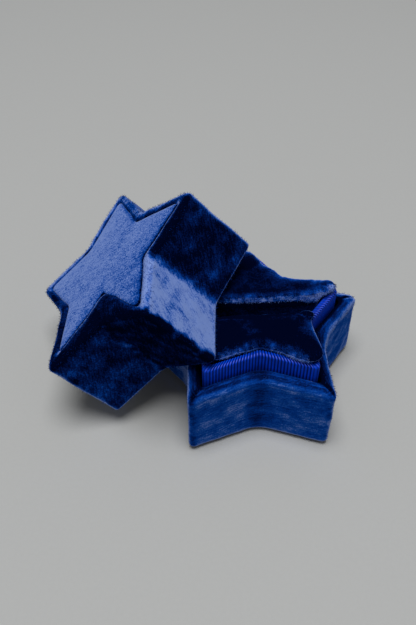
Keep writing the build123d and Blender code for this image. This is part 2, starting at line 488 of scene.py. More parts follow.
def sweep(bm, outline, stations, per_edge=0, notch_round=None):
    """Draws the star ring through the stations of a closed fold."""
    ring, perimeter = star_ring(bm, outline, per_edge, notch_round)
    layers = [bm.verts.layers.float.new(name) for name in ("crest", "give", "rise")]

    def mark(verts, *values):
        for vert in verts:
            for layer, value in zip(layers, values):
                vert[layer] = value

    inset, height, crest, give = stations[0]
    scale_and_raise(bm, bm.verts[:], drawn_in(outline, inset), height)
    mark(bm.verts, crest, give)
    rise = 0.0
    for next_inset, next_height, crest, give in stations[1:] + stations[:1]:
        step = drawn_in(outline, next_inset) / drawn_in(outline, inset)
        verts, ring = draw_on(bm, ring, step, next_height - height)
        rise += hypot(next_inset - inset, next_height - height)
        mark(verts, crest, give, rise)
        inset, height = next_inset, next_height
    nap_map(bm, perimeter)
    bmesh.ops.remove_doubles(bm, verts=bm.verts[:], dist=0.002 * MM)
    bmesh.ops.recalc_face_normals(bm, faces=bm.faces[:])
    settle_order(bm)


def settle_order(bm):
    """Puts faces in the order of their vertices, because extruding leaves them in another order each run."""
    bm.verts.index_update()
    count = len(bm.verts)

    def rank(face):
        first, second, *others = sorted(vert.index for vert in face.verts)
        return (first * count + second) * count + others[-1]

    bm.faces.sort(key=rank)


def nap_map(bm, perimeter):
    """Lays the nap map on a swept strip: along the star, and along the fold, in metres."""
    nap = bm.loops.layers.uv.new("nap")
    walls = bm.verts.layers.float["walls"]
    rise = bm.verts.layers.float["rise"]
    for face in bm.faces:
        places = [vert[walls] for vert in face.verts]
        wraps = max(places) - min(places) > WALLS / 2
        for loop in face.loops:
            place = loop.vert[walls]
            if wraps and place < WALLS / 2:
                place += WALLS
            loop[nap].uv = (place * perimeter / WALLS, loop.vert[rise])


def shift(moves):
    """Moves vertices all at once, so that no move is worked out from a moved one."""
    for vert, move in moves:
        vert.co += move


def even_out(bm, verts, times):
    """Evens out vertices some times over."""
    for turn in range(times):
        bmesh.ops.smooth_vert(bm, verts=verts, factor=0.5, use_axis_x=True, use_axis_y=True, use_axis_z=True)


# Cloth


def along_walls(walls, nap, margin=0.09):
    """Value of a per-wall list at a place along the walls, blending over each corner."""
    wall = int(walls) % len(nap)
    part = walls - int(walls)
    here = nap[wall]
    if part < margin:
        return here + (nap[wall - 1] - here) * 0.5 * (1 - part / margin)
    if part > 1 - margin:
        return here + (nap[(wall + 1) % len(nap)] - here) * 0.5 * (1 - (1 - part) / margin)
    return here


def lumps(place, millimetres):
    """Soft noise at a place, in lumps of a size."""
    return noise.noise(place / (millimetres * MM))


def front_edge_highlight(normal):
    """Painted highlight where a surface turns over a front edge: nothing on walls and tops, and most halfway
    between.
    """
    level = normal.z ** 2
    return max(0.0, -normal.y) * 4 * level * (1 - level) * (normal.z > 0)


def brush(bm, sizes, highlight_strength=0.0, notch_shade=0.0):
    """Writes each wall's tone on the mesh: its nap with painted light and shade mixed in, a partly painted
    highlight on the crest, and mostly painted shade at an inner edge.

    A painted highlight lightens the pile where a front edge turns over, by the given strength, and the notch
    shade is painted shade in the notches.
    """
    bm.normal_update()
    tone = bm.verts.layers.float.new("tone")
    walls = bm.verts.layers.float["walls"]
    crest = bm.verts.layers.float["crest"]
    for vert in bm.verts:
        place = vert[walls] + 0.1 * lumps(vert.co, 2.2) + WALLS
        here = along_walls(place, sizes.nap)
        here += (along_walls(place, sizes.crest_nap_and_highlight) - here) * max(0.0, vert[crest])
        here += along_walls(place, sizes.inner_edge_shading) * max(0.0, -vert[crest])
        here -= notch_shade * max(0.0, 1 - abs(vert[walls] % 2 - 1) / 0.25)
        vert[tone] = here + highlight_strength * front_edge_highlight(vert.normal)


def mitre_tips(bm, sizes):
    """Draws the rim's inner fold back into each tip and presses a dark slit across the rim there."""
    walls = bm.verts.layers.float["walls"]
    crest = bm.verts.layers.float["crest"]
    tone = bm.verts.layers.float["tone"]
    for vert in bm.verts:
        from_tip = walls_off_tip(vert[walls])
        drawn = max(0.0, 1 - from_tip / 0.3) ** 2 * max(0.0, -vert[crest])
        vert.co.xy *= 1 + drawn * sizes.tip_gap / vert.co.xy.length
        slit = max(0.0, 1 - from_tip / 0.035) * clamped(2 * vert[crest])
        vert.co.z -= slit * sizes.mitre
        vert[tone] -= 0.35 * slit


def soften(bm, sizes, seed):
    """Moves the giving part of a cloth in and out in soft waves."""
    bm.normal_update()
    give = bm.verts.layers.float["give"]
    start = Vector((seed, 2.3 * seed, -seed))
    moves = []
    for vert in bm.verts:
        waves = noise.noise(vert.co / sizes.wave + start)
        waves += 0.5 * noise.noise(vert.co / (0.4 * sizes.wave) - start)
        moves.append((vert, vert.normal * (sizes.softness * vert[give] * waves)))
    shift(moves)


def gathered(walls, amounts):
    """How far the lip reaches inwards at a place along the walls, blending between its amounts."""
    place = walls * len(amounts) / WALLS
    knot = int(place) % len(amounts)
    part = place - int(place)
    part *= part * (3 - 2 * part)
    return amounts[knot] + (amounts[(knot + 1) % len(amounts)] - amounts[knot]) * part


def gather_lip(bm, sizes):
    """Bunches the lip inwards at some tips and notches and draws it back at others."""
    walls = bm.verts.layers.float["walls"]
    rise = bm.verts.layers.float["rise"]
    for vert in bm.verts:
        along = vert[rise] - sizes.gather_from
        if 0 < along < sizes.lip_width + 2 * sizes.lip_depth:
            inwards = min(1.0, along / sizes.lip_width)
            reach = gathered(vert[walls], sizes.lip_reach)
            vert.co.xy *= 1 - reach * inwards / vert.co.xy.length
            vert.co.z += 0.4 * max(0.0, reach) * inwards * (1 - inwards)


def lid_place():
    """Place of the lid's own frame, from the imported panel: mouth at zero, and a tip towards the back."""
    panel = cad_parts["lid_top_velvet"].data
    flat = max(panel.polygons, key=lambda face: face.area * (face.normal.z > 0)).normal.copy()
    tops = [face for face in panel.polygons if face.normal.dot(flat) > 0.999]
    area = sum(face.area for face in tops)
    middle = sum((face.center * face.area for face in tops), Vector()) / area
    corners = [panel.vertices[index].co for face in tops for index in face.vertices]
    tip = max(corners, key=lambda place: (place - middle).length * (place.y > middle.y) + place.y)
    mouth = min(flat.dot(vert.co - middle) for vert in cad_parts["lid_side_velvet"].data.vertices)
    back = (tip - middle) - flat * flat.dot(tip - middle)
    back.normalize()
    turn = Matrix((back.cross(flat), back, flat)).transposed().to_4x4()
    return Matrix.Translation(middle + flat * mouth) @ turn


def linked(name, data):
    """A new object in the scene."""
    made = bpy.data.objects.new(name, data)
    bpy.context.scene.collection.objects.link(made)
    return made


def mesh_object(bm, name, material):
    """Makes the mesh an object with its material."""
    mesh = bpy.data.meshes.new(name)
    bm.to_mesh(mesh)
    bm.free()
    mesh.materials.append(material)
    return linked(name, mesh)


def piece(bm, name, material, body, slot, *nodes, smooth=True):
    """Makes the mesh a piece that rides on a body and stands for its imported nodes."""
    made = mesh_object(bm, name, material)
    if smooth:
        made.data.shade_smooth()
    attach(made, body)
    if nodes:
        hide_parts(*nodes)
    return made


# Materials


def link(tree, source, target):
    """Joins two sockets."""
    tree.links.new(source, target)


def set_values(made, values):
    """Sets a node's inputs by name."""
    for key, value in values.items():
        made.inputs[key].default_value = value


def node(tree, kind, inputs=None, **settings):
    """A shader node with its settings and its input values."""
    made = tree.nodes.new(kind)
    for key, value in settings.items():
        setattr(made, key, value)
    set_values(made, inputs or {})
    return made


def maths(tree, operation, first, second, clamp=False):
    """A math node whose terms are sockets or numbers."""
    made = node(tree, "ShaderNodeMath", operation=operation, use_clamp=clamp)
    for index, term in enumerate((first, second)):
        if isinstance(term, bpy.types.NodeSocket):
            link(tree, term, made.inputs[index])
        else:
            made.inputs[index].default_value = term
    return made.outputs[0]


def mixed(tree, factor, first, second):
    """A colour mix whose ends are sockets or colours."""
    made = node(tree, "ShaderNodeMix", data_type="RGBA")
    link(tree, factor, made.inputs[0])
    for index, term in ((6, first), (7, second)):
        if isinstance(term, bpy.types.NodeSocket):
            link(tree, term, made.inputs[index])
        else:
            made.inputs[index].default_value = (*term, 1)
    return made.outputs[2]


def mapped(tree, value, low, high, first=0.0, last=1.0):
    """A value brought smoothly from one range to another."""
    made = node(tree, "ShaderNodeMapRange", interpolation_type="SMOOTHSTEP")
    link(tree, value, made.inputs[0])
    for index, number in enumerate((low, high, first, last), start=1):
        made.inputs[index].default_value = number
    return made.outputs[0]


def object_place(tree):
    """Places in the object's own frame."""
    return node(tree, "ShaderNodeTexCoord").outputs["Object"]


def attribute(tree, name):
    """A value painted on the mesh."""
    return node(tree, "ShaderNodeAttribute", attribute_name=name, attribute_type="GEOMETRY").outputs["Fac"]


def clouds(tree, place, scale, detail, rough=0.5):
    """Soft noise over a surface."""
    made = node(tree, "ShaderNodeTexNoise", {"Scale": scale, "Detail": detail, "Roughness": rough})
    link(tree, place, made.inputs["Vector"])
    return made.outputs["Fac"]


def bumped(tree, shader, height, strength, millimetres):
    """Raises a shader's surface by a height."""
    bump = node(tree, "ShaderNodeBump", {"Strength": strength, "Distance": millimetres * MM})
    link(tree, height, bump.inputs["Height"])
    link(tree, bump.outputs[0], shader.inputs["Normal"])


def group_of(name, inputs, outputs):
    """A new shader group with its sockets."""
    tree = bpy.data.node_groups.new(name, "ShaderNodeTree")
    for way, sockets in (("INPUT", inputs), ("OUTPUT", outputs)):
        for label, kind in sockets.items():
            tree.interface.new_socket(name=label, in_out=way, socket_type=kind)
    return tree, node(tree, "NodeGroupInput"), node(tree, "NodeGroupOutput")


def pile_group():
    """Velvet pile: how light each tuft is brushed, and how high it stands."""
    found = bpy.data.node_groups.get("velvet_pile")
    if found:
        return found
    inputs = {name: "NodeSocketFloat" for name in ("Nap", "Patches", "Fibres", "Grain")}
    outputs = {name: "NodeSocketFloat" for name in ("Tone", "Height")}
    tree, taken, given = group_of("velvet_pile", {**inputs, "Lay": "NodeSocketVector"}, outputs)
    place = object_place(tree)
    turned = node(tree, "ShaderNodeVectorRotate", rotation_type="EULER_XYZ")
    link(tree, node(tree, "ShaderNodeUVMap", uv_map="nap").outputs[0], turned.inputs["Vector"])
    link(tree, taken.outputs["Lay"], turned.inputs["Rotation"])
    stretched = node(tree, "ShaderNodeMapping", {"Scale": (1.0, 0.16, 1.0)})
    link(tree, turned.outputs[0], stretched.inputs["Vector"])

    def uneven(vector, scale, detail, rough=0.55):
        return maths(tree, "SUBTRACT", clouds(tree, vector, scale, detail, rough), 0.5)

    patches = uneven(place, 210.0, 3.0, 0.6)
    tufts = uneven(place, 900.0, 2.0)
    grain = uneven(place, 2600.0, 2.0)
    fibres = uneven(stretched.outputs[0], 1900.0, 2.0)
    tone = taken.outputs["Nap"]
    for source, amount in ((patches, "Patches"), (fibres, "Fibres"), (grain, "Grain")):
        change = maths(tree, "MULTIPLY", maths(tree, "MULTIPLY", source, 2.0), taken.outputs[amount])
        tone = maths(tree, "ADD", tone, change)
    link(tree, tone, given.inputs["Tone"])
    height = tufts
    for source, weight in ((grain, 0.5), (fibres, 0.6), (patches, 1.6)):
        height = maths(tree, "ADD", height, maths(tree, "MULTIPLY", source, weight))
    link(tree, height, given.inputs["Height"])
    return tree


def new_material(name):
    """A material, its node tree and its shader."""
    material = bpy.data.materials.new(name)
    material.use_nodes = True
    return material, material.node_tree, material.node_tree.nodes["Principled BSDF"]


def pile_colours(tree, shader, colours, slant):
    """Colours velvet by its slant, from pile looked straight into to pile seen along its length."""
    ramp = node(tree, "ShaderNodeValToRGB")
    stops = (
        (0.1, colours.deep), (0.24, colours.shade), (0.38, colours.body),
        (0.45, colours.bright), (0.51, colours.bloom), (0.62, colours.pale),
    )
    for index, (place, tint) in enumerate(stops):
        stop = ramp.color_ramp.elements[index] if index < 2 else ramp.color_ramp.elements.new(place)
        stop.position = place
        stop.color = (*tint, 1)
    link(tree, slant, ramp.inputs["Fac"])
    link(tree, ramp.outputs["Color"], shader.inputs["Base Color"])
    set_values(shader, {"Roughness": 0.9, "Specular IOR Level": 0.0})


def velvet(name, colours, patches, fibres, grain, lay=0.0):
    """Velvet: deep where it is looked straight into, blooming where it is aslant, and lighter or darker where
    its tone holds nap or painted light and shade.
    """
    material, tree, shader = new_material(name)
    pile = node(
        tree, "ShaderNodeGroup", {"Patches": patches, "Fibres": fibres, "Grain": grain, "Lay": (0, 0, lay)},
        node_tree=pile_group(),
    )
    link(tree, attribute(tree, "tone"), pile.inputs["Nap"])
    facing = node(tree, "ShaderNodeLayerWeight", {"Blend": 0.5}).outputs["Facing"]
    # The tone shifts the slant by the nap and by the painted light and shade written on the mesh.
    nap_and_painted_light = maths(tree, "MULTIPLY", maths(tree, "SUBTRACT", pile.outputs["Tone"], 0.5), 0.9)
    pile_colours(tree, shader, colours, maths(tree, "ADD", facing, nap_and_painted_light))
    bumped(tree, shader, pile.outputs["Height"], 0.35, 0.25)
    set_values(shader, {"Sheen Weight": 0.015, "Sheen Roughness": 0.35, "Sheen Tint": (0.1, 0.3, 1.0, 1)})
    return material


def loose_pile(colours):
    """Loose blades of pile, each in the colour of its own tone."""
    material, tree, shader = new_material("loose_pile")
    pile_colours(tree, shader, colours, attribute(tree, "tone"))
    return material


def grosgrain(colours):
    """Ribbed ribbon: ribs painted bright and grooves painted dark as painted highlight and painted shade, pale
    painted highlights where the ribs fold over the top, and a fine weft.
    """
    material, tree, shader = new_material("grosgrain")
    place = object_place(tree)
    threads = clouds(tree, place, 4200.0, 2.0)
    wear = clouds(tree, place, 260.0, 3.0)
    rib = attribute(tree, "rib")
    # Painted highlight on the ribs and painted shade in the grooves between them.
    lit = maths(tree, "MULTIPLY", rib, mapped(tree, wear, 0.3, 0.7, 0.75, 1.0))
    painted = mixed(tree, lit, colours.ribbon_groove_shade, colours.ribbon)
    # Painted highlight: pale glints where the ribs fold over the collar's top.
    folded = mapped(tree, attribute(tree, "crest"), 0.6, 1.0, 0.0, 0.4)
    fold_highlight = maths(tree, "MULTIPLY", mapped(tree, rib, 0.75, 1.0), folded)
    link(tree, mixed(tree, fold_highlight, painted, colours.fold_highlight), shader.inputs["Base Color"])
    bumped(tree, shader, threads, 0.35, 0.1)
    link(tree, mapped(tree, threads, 0.3, 0.7, 0.32, 0.5), shader.inputs["Roughness"])
    set_values(shader, {"Specular IOR Level": 0.06})
    return material


def board_material(name, tint, fibre=0.25, rough=0.85):
    """Pressed board or paper with flecks."""
    material, tree, shader = new_material(name)
    place = object_place(tree)
    flecks = clouds(tree, place, 900.0, 4.0, 0.65)
    mottle = maths(tree, "MULTIPLY", clouds(tree, place, 120.0, 3.0), 0.6)
    spots = maths(tree, "ADD", mapped(tree, flecks, 0.35, 0.65), mottle)
    dark = tuple(channel * (1 - fibre) for channel in tint)
    light = tuple(min(1.0, channel * (1 + fibre)) for channel in tint)
    painted = mixed(tree, maths(tree, "MULTIPLY", spots, 0.62, clamp=True), dark, light)
    link(tree, painted, shader.inputs["Base Color"])
    bumped(tree, shader, flecks, 0.4, 0.12)
    set_values(shader, {"Roughness": rough})
    return material


# Operators and the pieces that they make


class RINGBOX_OT_base_velvet(bpy.types.Operator):
    """Wrap the base in velvet, folded over the rim and turned under the floor"""

    bl_idname = "ring_box.base_velvet"
    bl_label = "Base velvet"

    def execute(self, context):
        box = context.scene.ring_box
        sizes = box.base
        fine = box.outline.fine
        coarse = box.outline.coarse
        cloth = sizes.cloth
        bottom = sizes.hem_bottom
        top = sizes.rim_height
        width = sizes.rim_width
        turned_in = top - sizes.rim_turn_in
        under = top - cloth - sizes.rim_padding
        # Crest one marks the rim's top, where the pile gets a partly painted highlight, and crest minus one the
        # inner fold, where it gets painted shade.
        stations = fold_line([
            (sizes.hem_width, bottom, 0, coarse, 0, 0, 0),
            (0, bottom, sizes.hem_round, fine, 0, 0, 1),
            (0, top - sizes.rim_zone, 0, fine * 0.6, 0, 0, 1),
            (0, top, sizes.rim_round, fine * 0.5, 0.2, 0.5, 1),
            (width, top, sizes.fold_round, fine * 0.5, 0.15, -1, 0.6),
            (width, top - sizes.fold_depth, 0, fine, -1, -1, 0),
            (width, turned_in, 0, coarse, 0, 0, 0),
            (width - cloth, turned_in, 0, coarse, 0, 0, 0),
            (width - cloth, under, 0, coarse, 0, 0, 0),
            (cloth, under, 0, coarse, 0, 0, 0),
            (cloth, bottom + cloth, 0, coarse, 0, 0, 0),
            (sizes.hem_width, bottom + cloth, 0, coarse, 0, 0, 0),
        ])
        bm = bmesh.new()
        sweep(bm, box.outline, stations, notch_round=sizes.notch_round)
        # Painted highlight on the rim's front edge and painted shade in the notches.
        brush(bm, sizes, highlight_strength=0.5, notch_shade=0.1)
        mitre_tips(bm, sizes)
        soften(bm, sizes, seed=3.0)
        material = velvet("base_velvet", box.colours, patches=0.12, fibres=0.16, grain=0.14, lay=radians(80))
        piece(bm, "base_velvet_wrap", material, "base", "velvet", "base_side_velvet")
        return {"FINISHED"}


class RINGBOX_OT_lid_velvet(bpy.types.Operator):
    """Wrap the lid in velvet, with a raised lip round its panel and a turned-in mouth"""

    bl_idname = "ring_box.lid_velvet"
    bl_label = "Lid velvet"

    def execute(self, context):
        box = context.scene.ring_box
        sizes = box.lid
        fine = box.outline.fine
        coarse = box.outline.coarse
        cloth = sizes.cloth
        outer = sizes.setback
        inner = sizes.wall
        top = sizes.height
        ledge = top - sizes.lip_depth
        lip_inner = outer + sizes.lip_width
        over = cloth + sizes.mouth_padding
        # Crest one marks the lip's top, where the pile gets a painted highlight, and crest minus one the lip's
        # inner edge, where it gets painted shade.
        stations = fold_line([
            (inner, sizes.mouth_turn_in, 0, coarse, 0, 0, 0),
            (inner, 0, sizes.mouth_round, fine, 0, 0, 0.3),
            (outer, 0, sizes.mouth_round, fine * 0.5, 0, 0, 0.5),
            (outer, sizes.mouth_zone, 0, fine, 0, 0, 1),
            (outer, top - sizes.lip_zone, 0, fine * 0.5, 0, 0, 1),
            (outer, top, sizes.lip_round, fine * 0.5, 0.3, 1, 1),
            (lip_inner, top, sizes.lip_round, fine * 0.5, 1, -1, 0.6),
            (lip_inner, ledge, 0, coarse, -1, -1, 0),
            (outer + cloth, ledge, 0, coarse, 0, 0, 0),
            (outer + cloth, over, 0, coarse, 0, 0, 0),
            (inner - cloth, over, 0, coarse, 0, 0, 0),
            (inner - cloth, sizes.mouth_turn_in, 0, coarse, 0, 0, 0),
        ])
        bm = bmesh.new()
        sweep(bm, box.outline, stations)
        brush(bm, sizes)
        gather_lip(bm, sizes)
        soften(bm, sizes, seed=7.0)
        bmesh.ops.transform(bm, matrix=lid_place(), verts=bm.verts[:])
        bmesh.ops.recalc_face_normals(bm, faces=bm.faces[:])
        material = velvet("lid_velvet", box.colours, patches=0.3, fibres=0.18, grain=0.24, lay=radians(40))
        piece(bm, "lid_velvet_wrap", material, "lid", "velvet", "lid_side_velvet")
        return {"FINISHED"}


class RINGBOX_OT_lid_panel(bpy.types.Operator):
    """Lay the velvet star panel in the lip of the lid"""

    bl_idname = "ring_box.lid_panel"
    bl_label = "Lid panel"

    def execute(self, context):
        box = context.scene.ring_box
        sizes = box.lid
        ledge = sizes.height - sizes.lip_depth
        bm = bmesh.new()
        ring = star_ring(bm, box.outline)[0]
        scale_and_raise(bm, bm.verts[:], drawn_in(box.outline, sizes.panel_inset), ledge)
        walls = bm.verts.layers.float["walls"]
        for vert in bm.verts:
            vert.co.xy *= 1 - gathered(vert[walls], sizes.lip_reach) / vert.co.xy.length
        tone = bm.verts.layers.float.new("tone")
        height = ledge
        reach = 1.0
        for next_reach, rise, nap in PANEL_PROFILE:
            next_height = ledge + rise * MM
            verts, ring = draw_on(bm, ring, next_reach / reach, next_height - height)
            reach, height = next_reach, next_height
            for vert in verts:
                # Painted shade: the panel's edge is darkened in the groove under the lip, by the given amount
                # on each wall.
                vert[tone] = PANEL_TONE + (nap - PANEL_TONE) * along_walls(vert[walls], sizes.panel_edge_shade)
        bmesh.ops.holes_fill(bm, edges=bm.edges[:], sides=0)
        bmesh.ops.recalc_face_normals(bm, faces=bm.faces[:])
        settle_order(bm)
        nap_layer = bm.loops.layers.uv.new("nap")
        for face in bm.faces:
            for loop in face.loops:
                loop[nap_layer].uv = loop.vert.co.xy
        bmesh.ops.transform(bm, matrix=lid_place(), verts=bm.verts[:])
        material = velvet("panel_velvet", box.colours, patches=0.1, fibres=0.14, grain=0.34, lay=radians(-90))
        piece(bm, "lid_panel_velvet", material, "lid", "panel_velvet", "lid_top_velvet")
        return {"FINISHED"}


class RINGBOX_OT_collar_ribbon(bpy.types.Operator):
    """Wind the ribbed ribbon round the collar and fold it over the top"""

    bl_idname = "ring_box.collar_ribbon"
    bl_label = "Collar ribbon"

    def execute(self, context):
        box = context.scene.ring_box
        sizes = box.ribbon
        fine = sizes.fine
        coarse = sizes.coarse
        outer = sizes.inset
        inner = sizes.inner_inset
        cloth = sizes.cloth
        low = sizes.top - sizes.turn_in
        under = sizes.top - cloth
        stations = fold_line([
            (outer, sizes.bottom, 0, coarse, 0, 0, 1),
            (outer, sizes.top - sizes.top_zone, 0, fine, 0, 0, 1),
            (outer, sizes.top, sizes.outer_round, fine * 0.4, 0.5, 1, 1),
            (inner, sizes.top, sizes.inner_round, fine, 0, 0, 1),
            (inner, low, 0, coarse, 0, 0, 0),
            (inner - cloth, low, 0, coarse, 0, 0, 0),
            (inner - cloth, under, 0, coarse, 0, 0, 0),
            (outer + cloth, under, 0, coarse, 0, 0, 0),
            (outer + cloth, sizes.bottom, 0, coarse, 0, 0, 0),
        ])
        bm = bmesh.new()
        sweep(bm, box.outline, stations, sizes.ribs * MESH_LINES_PER_RIB, sizes.notch_round)
        bm.normal_update()
        walls = bm.verts.layers.float["walls"]
        give = bm.verts.layers.float["give"]
        rib = bm.verts.layers.float.new("rib")
        moves = []
        for vert in bm.verts:
            arch = abs(cos(vert[walls] * sizes.ribs * pi))
            vert[rib] = arch**1.5
            moves.append((vert, vert.normal * (sizes.rib_height * (arch - 0.5) * vert[give])))
        shift(moves)
        piece(bm, "collar_grosgrain", grosgrain(box.colours), "base", "ribbon", "collar_ribbon")
        return {"FINISHED"}


class RINGBOX_OT_ring_pads(bpy.types.Operator):
    """Stuff the two pads that hold the ring between them"""

    bl_idname = "ring_box.ring_pads"
    bl_label = "Ring pads"

    def execute(self, context):
        box = context.scene.ring_box
        material = velvet("pad_velvet", box.colours, patches=0.22, fibres=0.0, grain=0.2)
        for name, side in (("back", 1), ("front", -1)):
            stuffed_pad(box, name, side, material)
        return {"FINISHED"}


def everything(bm):
    """All of a mesh's vertices, edges and faces."""
    return bm.verts[:] + bm.edges[:] + bm.faces[:]


def stuffed_pad(box, name, side, material):
    """One pad: a star block cut at the slot, remeshed, swollen as cloth and rounded."""
    sizes = box.pads
    bm = bmesh.new()
    star_disc(bm, box.outline, sizes.tip_round, box.outline.notch_round)
    scale_and_raise(bm, bm.verts[:], drawn_in(box.outline, sizes.inset + sizes.start_inset), sizes.bottom)
    cut = sizes.slot_offset + side * (sizes.slot_width / 2 + sizes.start_inset)
    bmesh.ops.bisect_plane(
        bm, geom=everything(bm), plane_co=Vector((0, cut, 0)), plane_no=Vector((0, side, 0)),
        clear_inner=True,
    )
    made = bmesh.ops.extrude_face_region(bm, geom=bm.faces[:])["geom"]
    top = [item for item in made if isinstance(item, bmesh.types.BMVert)]
    bmesh.ops.translate(bm, vec=Vector((0, 0, sizes.shoulder - sizes.bottom)), verts=top)
    bmesh.ops.recalc_face_normals(bm, faces=bm.faces[:])
    nodes = (f"{name}_pad_velvet", f"{name}_pad_foam")
    made = piece(bm, f"{name}_pad_cushion", material, "base", "pad_velvet", *nodes)
    swell(made, sizes)
    finish_pad(made, box, side, *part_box(f"{name}_pad_velvet"))
    rounder = made.modifiers.new("rounder", "SUBSURF")
    rounder.levels = rounder.render_levels = 1


def swell(pad, sizes):
    """Remeshes a pad and lets pressure round it, as cloth at many times its size."""
    pad.data.transform(Matrix.Scale(CLOTH_SCALE, 4))
    remesh = pad.modifiers.new("remesh", "REMESH")
    remesh.mode = "VOXEL"
    remesh.voxel_size = sizes.voxel * CLOTH_SCALE
    bake_modifiers(pad)
    start = [vert.co.copy() for vert in pad.data.vertices]
    cloth = pad.modifiers.new("cloth", "CLOTH")
    cloth.settings.use_pressure = True
    cloth.settings.uniform_pressure_force = sizes.pressure
    cloth.settings.effector_weights.gravity = 0
    cloth.settings.quality = 6
    cloth.point_cache.frame_start = 1
    cloth.point_cache.frame_end = CLOTH_FRAMES
    for step in range(1, CLOTH_FRAMES + 1):
        bpy.context.scene.frame_set(step)
    bake_modifiers(pad)
    bpy.context.scene.frame_set(1)
    limit = sizes.cap * CLOTH_SCALE
    for vert, place in zip(pad.data.vertices, start):
        move = vert.co - place
        if move.length > limit:
            vert.co = place + move.normalized() * limit
    pad.data.transform(Matrix.Scale(1 / CLOTH_SCALE, 4))


def bake_modifiers(made):
    """Puts the result of a piece's modifiers into its mesh."""
    graph = bpy.context.evaluated_depsgraph_get()
    baked = bpy.data.meshes.new_from_object(made.evaluated_get(graph))
    made.modifiers.clear()
    old = made.data
    made.data = baked
    bpy.data.meshes.remove(old)


def finish_pad(pad, box, side, low, high):
    """Smooths and crowns a pad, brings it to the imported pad's size and lets it bulge over the ribbon."""
    sizes = box.pads
    bm = bmesh.new()
    bm.from_mesh(pad.data)
    even_out(bm, bm.verts[:], 3)
    crown_pad(bm, sizes)
    fit_pad(bm, sizes, side, low, high)
    for row in range(4):
        level = Vector((0, 0, sizes.sill + row * sizes.row))
        bmesh.ops.bisect_plane(bm, geom=everything(bm), plane_co=level, plane_no=Vector((0, 0, 1)))
    bm.normal_update()
    paint_pad(bm, box, side)
    bulge_pad(bm, box, side)
    even_out(bm, [vert for vert in bm.verts if vert.co.z > sizes.sill + sizes.held], 4)
    bm.to_mesh(pad.data)
    bm.free()
    pad.data.shade_smooth()


def crown_pad(bm, sizes):
    """Raises a pad's top towards the middle of the box."""
    for vert in bm.verts:
        up = clamped((vert.co.z - sizes.shoulder + sizes.crown_depth) / sizes.crown_depth)
        middle = max(0.0, 1 - (vert.co.xy.length / sizes.crown_reach) ** 2)
        vert.co.z += up * (sizes.crown - sizes.shoulder) * middle


def fit_pad(bm, sizes, side, low, high):
    """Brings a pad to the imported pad's box, with a little ease on its top and outer sides."""
    ease = sizes.ease
    wanted = (
        (low.x - ease, high.x + ease),
        (low.y - ease * (side < 0), high.y + ease * (side > 0)),
        (low.z, high.z + ease),
    )
    for axis, (start, end) in enumerate(wanted):
        places = [vert.co[axis] for vert in bm.verts]
        first = min(places)
        span = max(places) - first
        for vert in bm.verts:
            vert.co[axis] = start + (vert.co[axis] - first) / span * (end - start)


def edge_band(box, place, side):
    """How near a place on a pad is to an edge that catches the light, less what the slot shades."""
    sizes = box.pads
    over = place.z - sizes.sill
    depth, out = star_depth(box.outline, place)
    front = clamped(1.3 * (0.1 - cos(out)))
    in_notch = clamped(1 - (pi / STAR_POINTS - off_tip(place)) / 0.3)
    band = front * clamped(1 - (depth - sizes.inset) / sizes.fuzz) * (1 - 0.35 * in_notch)
    band *= clamped(over / sizes.fuzz_rise + 0.3)
    from_slot = clamped(1 - (side * (place.y - sizes.slot_offset) - sizes.slot_width / 2) / sizes.fuzz)
    if side < 0:
        return band - 1.4 * from_slot
    return max(band, from_slot * clamped(over / sizes.slot_rise + 1))


def paint_pad(bm, box, side):
    """Writes a pad's tone on the mesh: dark on top and blotched on the front pad, with a painted highlight
    along the front edges and the back pad's slot edge, and painted shade along the front pad's slot edge.
    """
    tone = bm.verts.layers.float.new("tone")
    for vert in bm.verts:
        blotch = lumps(vert.co, 5) + 0.6 * lumps(vert.co, 2)
        top = 0.22 + 0.15 * blotch if side < 0 else 0.35
        band = edge_band(box, vert.co, side) * (0.85 + 0.6 * lumps(vert.co, 1.2))
        vert[tone] = top + (0.72 + 0.25 * front_edge_highlight(vert.normal)) * band


def bulge_pad(bm, box, side):
    """Pushes a pad's upper edge out over the ribbon, less beside the leaning lid and on the front pad."""
    sizes = box.pads
    tip_part = 0.75 if side < 0 else 1
    lift_part = 0.6 if side < 0 else 1
    moves = []
    for vert in bm.verts:
        place = vert.co
        risen = clamped((place.z - sizes.sill) / sizes.bulge_depth)
        over = sin(pi / 2 * min(1.0, 1.6 * risen))
        depth = star_depth(box.outline, place)[0]
        past_lid = place.x + sizes.lid_line
        near = clamped(1 - (depth - sizes.inset) / sizes.edge_zone) * clamped(past_lid / sizes.lift_blend)
        clear = 0.3 + 0.7 * clamped(past_lid / sizes.side_blend)
        push = vert.normal * (sizes.bulge * over * clear * (vert.normal.y * side > -0.6))
        on_right = clamped((place.x - sizes.tips_from) / sizes.side_blend)
        tip = cos(min(pi / 2, 3.2 * off_tip(place))) ** 2 * on_right
        flank = cos(min(pi / 2, abs(tau - turn_of(place) - sizes.flank_turn) * 4)) ** 2
        filling = sizes.tip_push * tip * tip_part + sizes.flank_fill * flank
        push += place.normalized() * (over * near * filling)
        push.x -= sizes.back_lean * over * clamped((place.y - sizes.lean_from) / sizes.lean_from)
        moves.append((vert, Vector((push.x, push.y, sizes.lift * lift_part * risen * near))))
    shift(moves)


